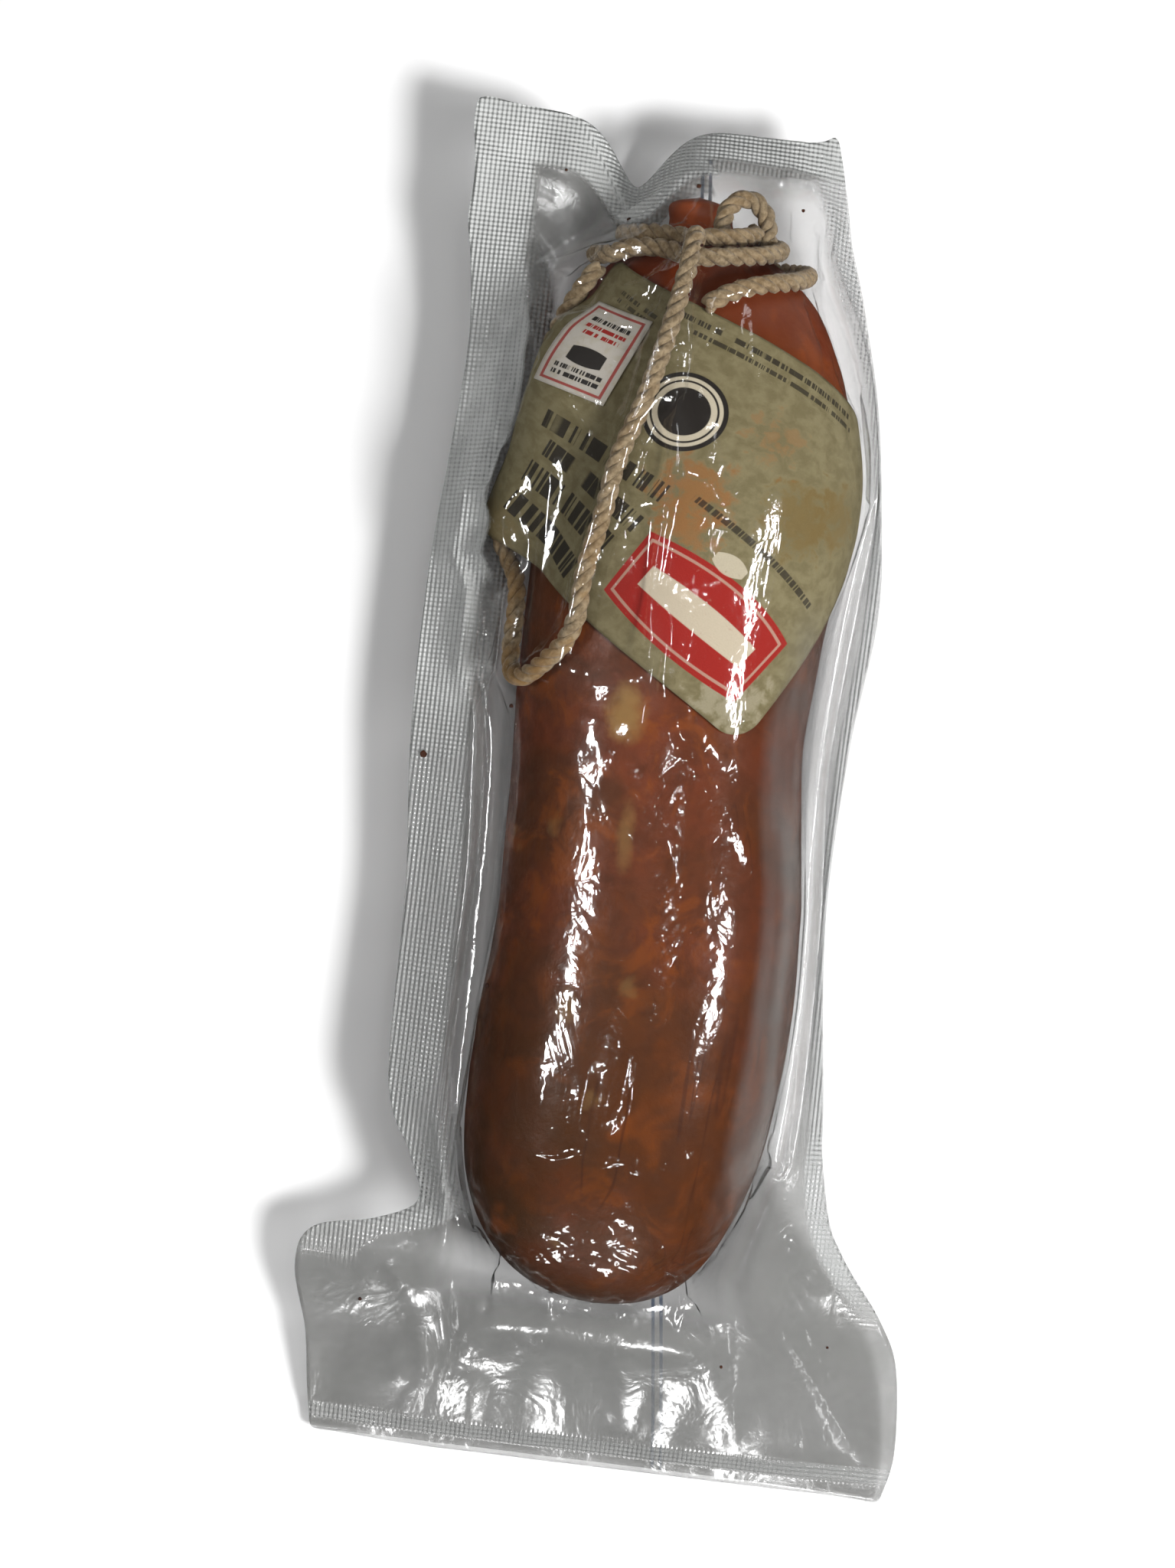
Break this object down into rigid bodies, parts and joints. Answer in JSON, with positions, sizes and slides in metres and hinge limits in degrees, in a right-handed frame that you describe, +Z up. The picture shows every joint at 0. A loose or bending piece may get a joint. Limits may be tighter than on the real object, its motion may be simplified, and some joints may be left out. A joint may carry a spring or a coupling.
{
  "type": "vacuum-packed cured sausage",
  "caption": "Soft cured sausage in a natural casing, tied with twine and labelled, sealed flat in a clear vacuum pouch with wide side and end seals.",
  "frame": {"origin": "on the resting plane, below the middle of the pouch's box", "axes": "+Y along the sausage towards its tied neck, +Z up out of the labelled front, +X to the right seen from the front"},
  "size_m": [0.1243, 0.2706, 0.0607],
  "materials": {
    "cured_meat": "moist natural casing over paprika-red meat, satin",
    "twine": "twisted natural fibre, matte and oil-stained",
    "label_paper": "uncoated beige paper with plain printed panels, oil-stained",
    "sticker_paper": "white paper with a plain red zigzag border",
    "pouch_film": "clear glossy film with embossed side seals"
  },
  "bodies": {
    "root": {"sausage": "cured_meat", "neck_tie_twine": "twine", "top_loop_twine": "twine", "hanging_loop_twine": "twine", "paper_label": "label_paper", "seal_sticker": "sticker_paper", "pouch_front_film": "pouch_film", "pouch_back_film": "pouch_film"}
  },
  "joints": []
}
